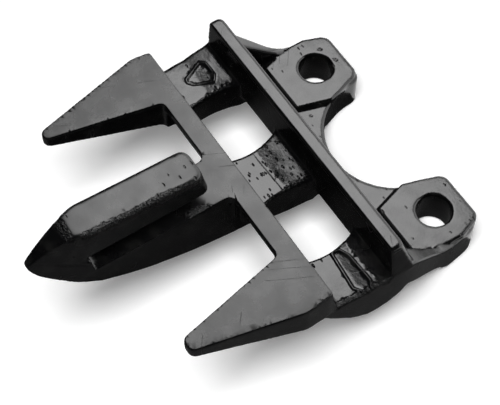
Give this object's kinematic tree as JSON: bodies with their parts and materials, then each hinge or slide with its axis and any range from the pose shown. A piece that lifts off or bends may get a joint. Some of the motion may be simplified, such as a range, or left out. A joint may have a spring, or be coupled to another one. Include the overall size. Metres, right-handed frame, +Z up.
{
  "type": "cutter bar knife guard",
  "caption": "Black painted forged guard for a mower's cutter bar: bolted ears, waisted arms, crossbar and rail, flat pointed side fingers, and a slotted, lipped centre finger.",
  "frame": {"origin": "midway between the two bolt bores, on the plane of the raised seats on top of the ears", "axes": "+X along the cutter bar, +Y to the rear (the fingers point to -Y), +Z up, away from the ears' undersides and along both bolts"},
  "size_m": [0.1196, 0.1545, 0.0665],
  "materials": {
    "black_paint": "glossy black dip paint over forged steel, ground flat on the ledger"
  },
  "bodies": {
    "root": {"knife_guard": "black_paint"}
  },
  "joints": []
}
